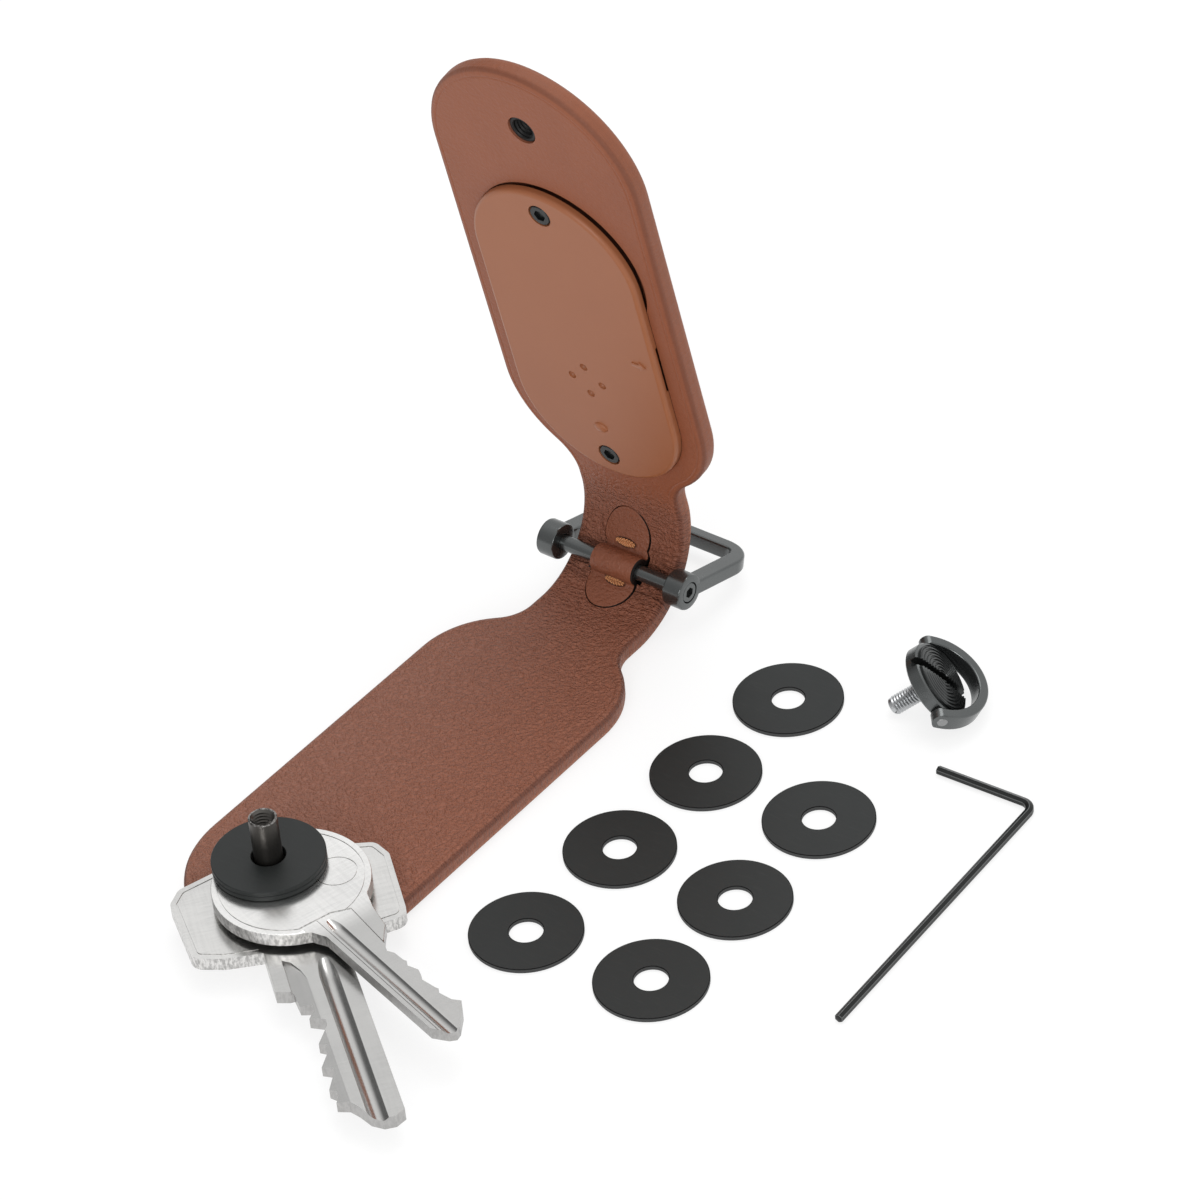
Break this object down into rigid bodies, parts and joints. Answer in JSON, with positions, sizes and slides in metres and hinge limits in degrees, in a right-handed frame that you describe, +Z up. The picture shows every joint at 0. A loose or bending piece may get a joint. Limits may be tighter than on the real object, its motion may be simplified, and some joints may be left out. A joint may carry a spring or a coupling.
{
  "type": "key organizer",
  "caption": "Folding leather key organizer: a strap bent at a narrow neck with a key post, a slim tracker, a shackle on a pin, keys, spacer washers, a closing screw and a hex key.",
  "frame": {"origin": "foot of the key post's axis on the underside of the lower leaf, which lies on the table", "axes": "+Z up along the key post; +Y along the strap from the post to the neck; +X along the shackle's pin, towards the loose washers"},
  "size_m": [0.0919, 0.1179, 0.0934],
  "materials": {
    "brown_leather": "fine-grained brown leather",
    "brown_lining": "fine-grained brown leather lining",
    "stiffener": "hidden fibre board",
    "brown_plastic": "satin moulded brown",
    "black_metal": "satin black",
    "dark_post": "blackened steel",
    "gunmetal": "satin gunmetal",
    "nickel": "bright nickel",
    "steel": "bare steel",
    "tan_thread": "waxed tan thread",
    "circuit_green": "circuit board",
    "rubber_black": "black rubber or moulding",
    "brass": "plain brass"
  },
  "bodies": {
    "lower_leaf": {"lower_outer_leather": "brown_leather", "lower_board": "stiffener", "lower_lining": "brown_lining", "key_post": "dark_post"},
    "neck": {"neck_lower_outer_leather": "brown_leather", "neck_lower_lining": "brown_lining", "neck_upper_outer_leather": "brown_leather", "neck_upper_lining": "brown_lining", "keeper_patch": "brown_leather", "keeper_tack_upper": "tan_thread", "keeper_tack_lower": "tan_thread"},
    "shackle": {"shackle_bow": "gunmetal", "shackle_pin": "gunmetal"},
    "upper_leaf": {"upper_outer_leather": "brown_leather", "upper_board": "stiffener", "upper_lining": "brown_lining", "eyelet": "black_metal", "tracker_tray": "brown_plastic", "tracker_gasket": "rubber_black", "tracker_circuit": "circuit_green", "coin_battery": "steel", "battery_contact": "steel", "tracker_buzzer": "brass", "tracker_chip": "rubber_black", "lid_insert_upper": "brass", "lid_insert_lower": "brass"},
    "lid": {"tracker_lid": "brown_plastic"},
    "lid_screw_a": {"lid_screw_upper": "black_metal"},
    "lid_screw_b": {"lid_screw_lower": "black_metal"},
    "lower_key": {"key_lower": "nickel"},
    "upper_key": {"key_upper": "nickel"},
    "washer_a": {"post_washer_lower": "black_metal"},
    "washer_b": {"post_washer_middle": "black_metal"},
    "washer_c": {"post_washer_top": "black_metal"},
    "closing_screw": {"closing_screw_head": "gunmetal", "closing_screw_stud": "steel"},
    "screw_bail": {"bail": "gunmetal", "bail_pivot_near": "steel", "bail_pivot_far": "steel"},
    "hex_wrench": {"hex_key": "black_metal"},
    "spare_washer_1": {"loose_washer_1": "black_metal"},
    "spare_washer_2": {"loose_washer_2": "black_metal"},
    "spare_washer_3": {"loose_washer_3": "black_metal"},
    "spare_washer_4": {"loose_washer_4": "black_metal"},
    "spare_washer_5": {"loose_washer_5": "black_metal"},
    "spare_washer_6": {"loose_washer_6": "black_metal"},
    "spare_washer_7": {"loose_washer_7": "black_metal"}
  },
  "joints": [
    {"name": "neck_fold_lower", "type": "hinge", "parent": "lower_leaf", "child": "neck", "pos_m": [0, 0.06999, 0.00572], "axis": [1, 0, 0], "range_deg": [-50, 39.25], "deforming": ["neck_lower_outer_leather", "neck_lower_lining"]},
    {"name": "neck_fold_upper", "type": "hinge", "parent": "neck", "child": "upper_leaf", "pos_m": [0, 0.0793, 0.01196], "axis": [1, 0, 0], "range_deg": [-50, 39.25], "deforming": ["neck_upper_outer_leather", "neck_upper_lining"]},
    {"name": "shackle_swing", "type": "hinge", "parent": "neck", "child": "shackle", "pos_m": [0.0002, 0.07399, 0.0072], "axis": [1, 0, 0], "range_deg": [-75, 35]},
    {"name": "lower_key_swing", "type": "hinge", "parent": "lower_leaf", "child": "lower_key", "pos_m": [0, 0, 0.004], "axis": [0, 0, 1], "range_deg": [-142.6, 127.4]},
    {"name": "upper_key_swing", "type": "hinge", "parent": "lower_leaf", "child": "upper_key", "pos_m": [0, 0, 0.0067], "axis": [0, 0, 1], "range_deg": [-163.6, 106.4]},
    {"name": "washer_a_spin", "type": "hinge", "parent": "lower_leaf", "child": "washer_a", "pos_m": [0, 0, 0.00535], "axis": [0, 0, 1], "continuous": true},
    {"name": "washer_b_spin", "type": "hinge", "parent": "lower_leaf", "child": "washer_b", "pos_m": [0, 0, 0.00805], "axis": [0, 0, 1], "continuous": true},
    {"name": "washer_c_spin", "type": "hinge", "parent": "lower_leaf", "child": "washer_c", "pos_m": [0, 0, 0.0088], "axis": [0, 0, 1], "continuous": true},
    {"name": "lid_lift", "type": "slide", "parent": "upper_leaf", "child": "lid", "axis": [0, -0.9799, -0.1994], "range_m": [0, 0.0035]},
    {"name": "lid_screw_a_lift", "type": "slide", "parent": "lid", "child": "lid_screw_a", "axis": [0, -0.9799, -0.1994], "range_m": [0, 0.003]},
    {"name": "lid_screw_b_lift", "type": "slide", "parent": "lid", "child": "lid_screw_b", "axis": [0, -0.9799, -0.1994], "range_m": [0, 0.003]},
    {"name": "closing_screw_lift", "type": "slide", "parent": "lower_leaf", "child": "closing_screw", "axis": [0, 0, 1], "range_m": [0, 0.01]},
    {"name": "bail_swing", "type": "hinge", "parent": "closing_screw", "child": "screw_bail", "pos_m": [0.05019, 0.07785, 0.00502], "axis": [0.6473, -0.7353, -0.2009], "range_deg": [0, 120]},
    {"name": "hex_key_lift", "type": "slide", "parent": "lower_leaf", "child": "hex_wrench", "axis": [0, 0, 1], "range_m": [0, 0.01]},
    {"name": "spare_washer_1_lift", "type": "slide", "parent": "lower_leaf", "child": "spare_washer_1", "axis": [0, 0, 1], "range_m": [0, 0.01]},
    {"name": "spare_washer_2_lift", "type": "slide", "parent": "lower_leaf", "child": "spare_washer_2", "axis": [0, 0, 1], "range_m": [0, 0.01]},
    {"name": "spare_washer_3_lift", "type": "slide", "parent": "lower_leaf", "child": "spare_washer_3", "axis": [0, 0, 1], "range_m": [0, 0.01]},
    {"name": "spare_washer_4_lift", "type": "slide", "parent": "lower_leaf", "child": "spare_washer_4", "axis": [0, 0, 1], "range_m": [0, 0.01]},
    {"name": "spare_washer_5_lift", "type": "slide", "parent": "lower_leaf", "child": "spare_washer_5", "axis": [0, 0, 1], "range_m": [0, 0.01]},
    {"name": "spare_washer_6_lift", "type": "slide", "parent": "lower_leaf", "child": "spare_washer_6", "axis": [0, 0, 1], "range_m": [0, 0.01]},
    {"name": "spare_washer_7_lift", "type": "slide", "parent": "lower_leaf", "child": "spare_washer_7", "axis": [0, 0, 1], "range_m": [0, 0.01]}
  ],
  "couplings": [
    {"joint": "neck_fold_upper", "follows": "neck_fold_lower", "ratio": 1}
  ]
}
